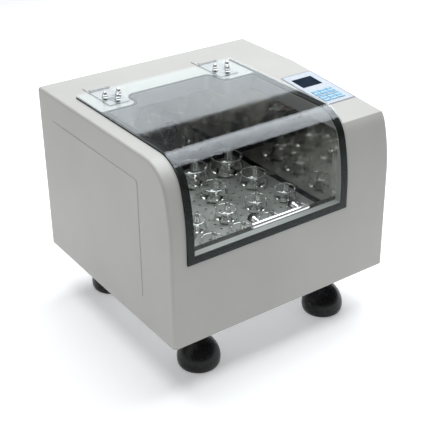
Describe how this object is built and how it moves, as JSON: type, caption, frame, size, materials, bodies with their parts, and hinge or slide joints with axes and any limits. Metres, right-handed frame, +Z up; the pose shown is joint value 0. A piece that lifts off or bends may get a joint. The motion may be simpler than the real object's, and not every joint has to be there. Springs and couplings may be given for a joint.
{
  "type": "laboratory shaker incubator",
  "caption": "Benchtop shaker incubator: leaning metal casing on tall rubber feet, clear wrap-over hinged lid, orbiting flask platform with spring clamps, sloping keypad console.",
  "frame": {"origin": "on the floor under the middle of the whole object, feet at z = 0", "axes": "+Z up, -Y towards the user (lid handle and front), +X to the user's right (keypad side)"},
  "size_m": [0.602, 0.613, 0.5729],
  "materials": {
    "casing_paint": "fine-textured light grey powder coat",
    "pan_steel": "zinc-plated sheet",
    "foot_rubber": "smooth black rubber",
    "gasket_rubber": "matt black foam rubber",
    "fixing_steel": "bright zinc",
    "chrome": "polished chrome",
    "lid_acrylic": "clear polished acrylic",
    "hinge_white": "white paint",
    "black_plastic": "moulded black plastic",
    "liner_steel": "mirror-polished stainless sheet",
    "insulation_wool": "glass wool",
    "guard_wire": "bright wire",
    "heater_sheath": "heat-tinted sheath",
    "probe_white": "white sleeve on a steel stem",
    "probe_brown": "brown sleeve on a steel stem",
    "cast_aluminium": "machined",
    "bearing_steel": "ground",
    "motor_paint": "black enamel",
    "tray_steel": "matt stainless",
    "clamp_steel": "spring stainless",
    "control_film": "printed polyester film",
    "display_film": "dark blue display",
    "key_film": "light blue embossed keys",
    "board_green": "printed circuit board",
    "supply_metal": "pressed aluminium box"
  },
  "bodies": {
    "casing": {"casing_shell": "casing_paint", "rear_cover": "casing_paint", "left_service_panel": "casing_paint", "right_service_panel": "casing_paint", "base_pan": "pan_steel", "foot_pads": "foot_rubber", "foot_studs": "fixing_steel", "foot_nuts": "fixing_steel", "lid_gasket": "gasket_rubber", "hinge_bases": "casing_paint", "hinge_pins": "fixing_steel", "chamber_liner": "liner_steel", "chamber_insulation": "insulation_wool", "fan_frame": "black_plastic", "fan_guard": "guard_wire", "heater_ring": "heater_sheath", "temperature_probe": "probe_white", "cutout_probe": "probe_brown", "drive_plate": "pan_steel", "plate_pillars": "pan_steel", "bearing_housings": "cast_aluminium", "shaft_bearings": "bearing_steel", "drive_motor": "motor_paint", "drive_belt": "gasket_rubber", "control_plate": "control_film", "display_window": "display_film", "controller_board": "board_green", "power_inlet": "black_plastic", "power_supply": "supply_metal", "cover_screws": "fixing_steel"},
    "lid": {"lid_panel": "lid_acrylic", "handle_bar": "chrome", "handle_washers": "black_plastic", "handle_screws": "fixing_steel", "hinge_arms": "hinge_white", "hinge_cap_nuts": "chrome"},
    "crank": {"drive_crank": "bearing_steel", "crank_pulley": "cast_aluminium"},
    "platform": {"platform_tray": "tray_steel", "carriage_plate": "motor_paint", "carriage_bearings": "bearing_steel", "tray_screws": "fixing_steel", "small_clamps": "clamp_steel", "medium_clamps": "clamp_steel", "large_clamps": "clamp_steel", "clamp_rings": "chrome", "clamp_screws": "fixing_steel"},
    "idler_1": {"idler_crank_1": "bearing_steel"},
    "idler_2": {"idler_crank_2": "bearing_steel"},
    "idler_3": {"idler_crank_3": "bearing_steel"},
    "motor_rotor": {"motor_pulley": "cast_aluminium"},
    "fan": {"fan_impeller": "black_plastic"},
    "rocker": {"power_rocker": "black_plastic"},
    "key_1": {"key_1": "key_film"},
    "key_2": {"key_2": "key_film"},
    "key_3": {"key_3": "key_film"},
    "key_4": {"key_4": "key_film"},
    "key_5": {"key_5": "key_film"},
    "key_6": {"key_6": "key_film"}
  },
  "joints": [
    {"name": "lid_hinge", "type": "hinge", "parent": "casing", "child": "lid", "pos_m": [-0.0455, 0.19295, 0.555], "axis": [-1, 0, 0], "range_deg": [0, 80]},
    {"name": "crank_spin", "type": "hinge", "parent": "casing", "child": "crank", "pos_m": [-0.025, -0.00505, 0.23], "axis": [0, 0, 1], "continuous": true},
    {"name": "platform_orbit", "type": "hinge", "parent": "crank", "child": "platform", "pos_m": [-0.015, -0.00505, 0.255], "axis": [0, 0, 1], "continuous": true},
    {"name": "motor_spin", "type": "hinge", "parent": "casing", "child": "motor_rotor", "pos_m": [0.125, -0.00505, 0.17], "axis": [0, 0, 1], "continuous": true},
    {"name": "fan_spin", "type": "hinge", "parent": "casing", "child": "fan", "pos_m": [-0.01, 0.25995, 0.359], "axis": [0, 1, 0], "continuous": true},
    {"name": "rocker_tilt", "type": "hinge", "parent": "casing", "child": "rocker", "pos_m": [0.15, 0.29345, 0.19], "axis": [1, 0, 0], "range_deg": [-7, 7]},
    {"name": "idler_1_spin", "type": "hinge", "parent": "casing", "child": "idler_1", "pos_m": [0.045, 0.11619, 0.23], "axis": [0, 0, 1], "continuous": true},
    {"name": "idler_2_spin", "type": "hinge", "parent": "casing", "child": "idler_2", "pos_m": [-0.165, -0.00505, 0.23], "axis": [0, 0, 1], "continuous": true},
    {"name": "idler_3_spin", "type": "hinge", "parent": "casing", "child": "idler_3", "pos_m": [0.045, -0.12629, 0.23], "axis": [0, 0, 1], "continuous": true},
    {"name": "key_1_press", "type": "slide", "parent": "casing", "child": "key_1", "axis": [0, 0.0872, -0.9962], "range_m": [0, 0.0006], "stiffness_N_per_m": 600, "springref_m": -0.0005},
    {"name": "key_2_press", "type": "slide", "parent": "casing", "child": "key_2", "axis": [0, 0.0872, -0.9962], "range_m": [0, 0.0006], "stiffness_N_per_m": 600, "springref_m": -0.0005},
    {"name": "key_3_press", "type": "slide", "parent": "casing", "child": "key_3", "axis": [0, 0.0872, -0.9962], "range_m": [0, 0.0006], "stiffness_N_per_m": 600, "springref_m": -0.0005},
    {"name": "key_4_press", "type": "slide", "parent": "casing", "child": "key_4", "axis": [0, 0.0872, -0.9962], "range_m": [0, 0.0006], "stiffness_N_per_m": 600, "springref_m": -0.0005},
    {"name": "key_5_press", "type": "slide", "parent": "casing", "child": "key_5", "axis": [0, 0.0872, -0.9962], "range_m": [0, 0.0006], "stiffness_N_per_m": 600, "springref_m": -0.0005},
    {"name": "key_6_press", "type": "slide", "parent": "casing", "child": "key_6", "axis": [0, 0.0872, -0.9962], "range_m": [0, 0.0006], "stiffness_N_per_m": 600, "springref_m": -0.0005}
  ],
  "couplings": [
    {"joint": "platform_orbit", "follows": "crank_spin", "ratio": -1},
    {"joint": "motor_spin", "follows": "crank_spin", "ratio": 2.5},
    {"joint": "idler_1_spin", "follows": "crank_spin", "ratio": 1},
    {"joint": "idler_2_spin", "follows": "crank_spin", "ratio": 1},
    {"joint": "idler_3_spin", "follows": "crank_spin", "ratio": 1}
  ]
}
